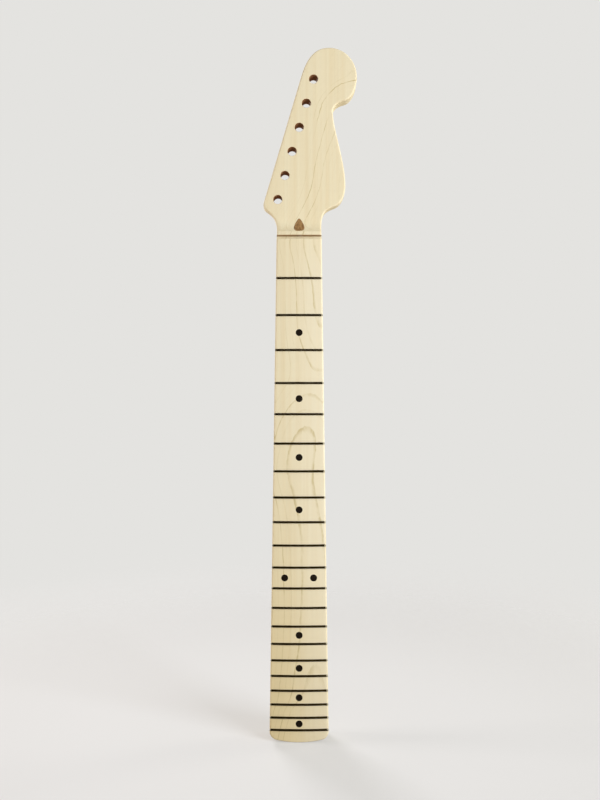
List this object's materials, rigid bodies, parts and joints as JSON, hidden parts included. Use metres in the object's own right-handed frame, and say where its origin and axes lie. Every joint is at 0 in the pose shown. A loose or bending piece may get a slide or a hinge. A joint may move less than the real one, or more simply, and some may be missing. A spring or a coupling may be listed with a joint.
{
  "type": "electric guitar neck",
  "caption": "Bolt-on maple electric guitar neck with an in-line headstock, radiused board, frets, black position dots and a heel-adjusted truss rod; nut and tuners not fitted.",
  "frame": {"origin": "centre of the flat back of the heel, where the neck is bolted to a body", "axes": "+Z along the neck from the heel to the headstock, +Y out of the back of the heel, so -Y is the playing face, +X towards the treble side"},
  "size_m": [0.0876, 0.0267, 0.648],
  "materials": {
    "maple": "bare satin maple, plain sawn, faint brown grain",
    "walnut": "bare satin walnut",
    "fret_wire": "polished nickel silver",
    "black_dot": "sanded black plastic",
    "steel": "plain turned steel"
  },
  "bodies": {
    "neck": {"neck_blank": "maple", "back_stripe": "walnut", "headstock_plug": "walnut", "truss_rod": "steel", "rod_anchor": "steel", "truss_rod_washer": "steel", "fret_1": "fret_wire", "fret_2": "fret_wire", "fret_3": "fret_wire", "fret_4": "fret_wire", "fret_5": "fret_wire", "fret_6": "fret_wire", "fret_7": "fret_wire", "fret_8": "fret_wire", "fret_9": "fret_wire", "fret_10": "fret_wire", "fret_11": "fret_wire", "fret_12": "fret_wire", "fret_13": "fret_wire", "fret_14": "fret_wire", "fret_15": "fret_wire", "fret_16": "fret_wire", "fret_17": "fret_wire", "fret_18": "fret_wire", "fret_19": "fret_wire", "fret_20": "fret_wire", "fret_21": "fret_wire", "face_dot_3": "black_dot", "face_dot_5": "black_dot", "face_dot_7": "black_dot", "face_dot_9": "black_dot", "face_dot_12_bass": "black_dot", "face_dot_12_treble": "black_dot", "face_dot_15": "black_dot", "face_dot_17": "black_dot", "face_dot_19": "black_dot", "face_dot_21": "black_dot", "side_dot_3": "black_dot", "side_dot_5": "black_dot", "side_dot_7": "black_dot", "side_dot_9": "black_dot", "side_dot_12_lower": "black_dot", "side_dot_12_upper": "black_dot", "side_dot_15": "black_dot", "side_dot_17": "black_dot", "side_dot_19": "black_dot", "side_dot_21": "black_dot"},
    "truss_nut": {"truss_rod_nut": "steel"}
  },
  "joints": [
    {"name": "truss_rod_nut_turn", "type": "hinge", "parent": "neck", "child": "truss_nut", "pos_m": [0, -0.0139, -0.031], "axis": [0, 0, 1], "range_deg": [-360, 360]}
  ]
}
